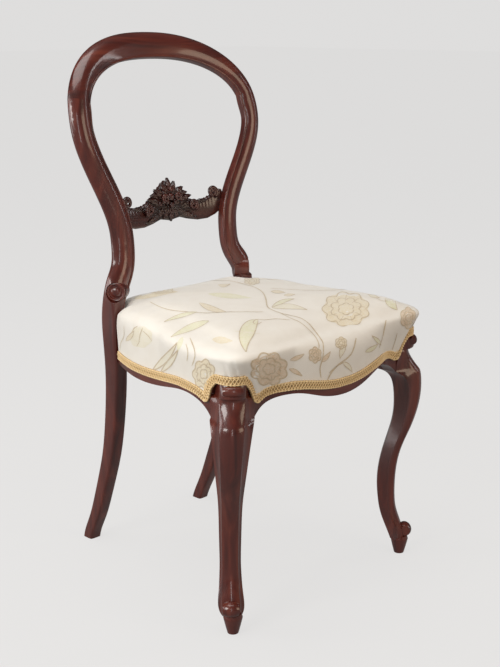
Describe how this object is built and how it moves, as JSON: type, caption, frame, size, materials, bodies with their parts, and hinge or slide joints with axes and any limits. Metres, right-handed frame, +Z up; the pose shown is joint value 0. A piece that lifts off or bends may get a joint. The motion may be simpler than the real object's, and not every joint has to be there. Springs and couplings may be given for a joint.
{
  "type": "balloon back chair",
  "caption": "Upright side chair with an open moulded hoop back, a carved splat, cabriole front legs and a stuffed upholstered seat.",
  "frame": {"origin": "on the floor under the middle of the chair's overall box", "axes": "+Z up; the front of the chair faces -Y; +X towards the sitter's left, which is the right-hand side as one looks along +Y"},
  "size_m": [0.4646, 0.4876, 0.8813],
  "materials": {
    "mahogany": "French-polished gloss, dark red-brown",
    "beech": "planed, unpolished",
    "screw_steel": "plain",
    "jute_webbing": "woven, matte",
    "hessian": "open plain weave, matte",
    "curled_hair": "matte",
    "calico": "plain weave, matte",
    "cotton_wadding": "matte",
    "figured_silk": "fine ribbed weave with a soft sheen, ivory ground with gold-beige figure",
    "gimp": "braided, soft sheen"
  },
  "bodies": {
    "root": {"crest_rail": "mahogany", "rear_leg_stile_left": "mahogany", "rear_leg_stile_right": "mahogany", "carved_splat": "mahogany", "front_leg_left": "mahogany", "front_leg_right": "mahogany", "front_seat_rail": "mahogany", "side_seat_rail_left": "mahogany", "side_seat_rail_right": "mahogany", "patera_left": "mahogany", "patera_right": "mahogany", "back_seat_rail": "beech", "corner_block_front_left": "beech", "corner_block_front_right": "beech", "corner_block_rear_left": "beech", "corner_block_rear_right": "beech", "rail_dowels": "beech", "crest_dowels": "beech", "splat_dowels": "beech", "corner_block_screws": "screw_steel", "webbing_front_to_back_1": "jute_webbing", "webbing_front_to_back_2": "jute_webbing", "webbing_front_to_back_3": "jute_webbing", "webbing_front_to_back_4": "jute_webbing", "webbing_side_to_side_1": "jute_webbing", "webbing_side_to_side_2": "jute_webbing", "webbing_side_to_side_3": "jute_webbing", "webbing_side_to_side_4": "jute_webbing", "hessian_base": "hessian", "hair_stuffing": "curled_hair", "calico_undercover": "calico", "wadding_layer": "cotton_wadding", "seat_cover": "figured_silk", "gimp_braid": "gimp", "gimp_braid_back": "gimp"}
  },
  "joints": []
}
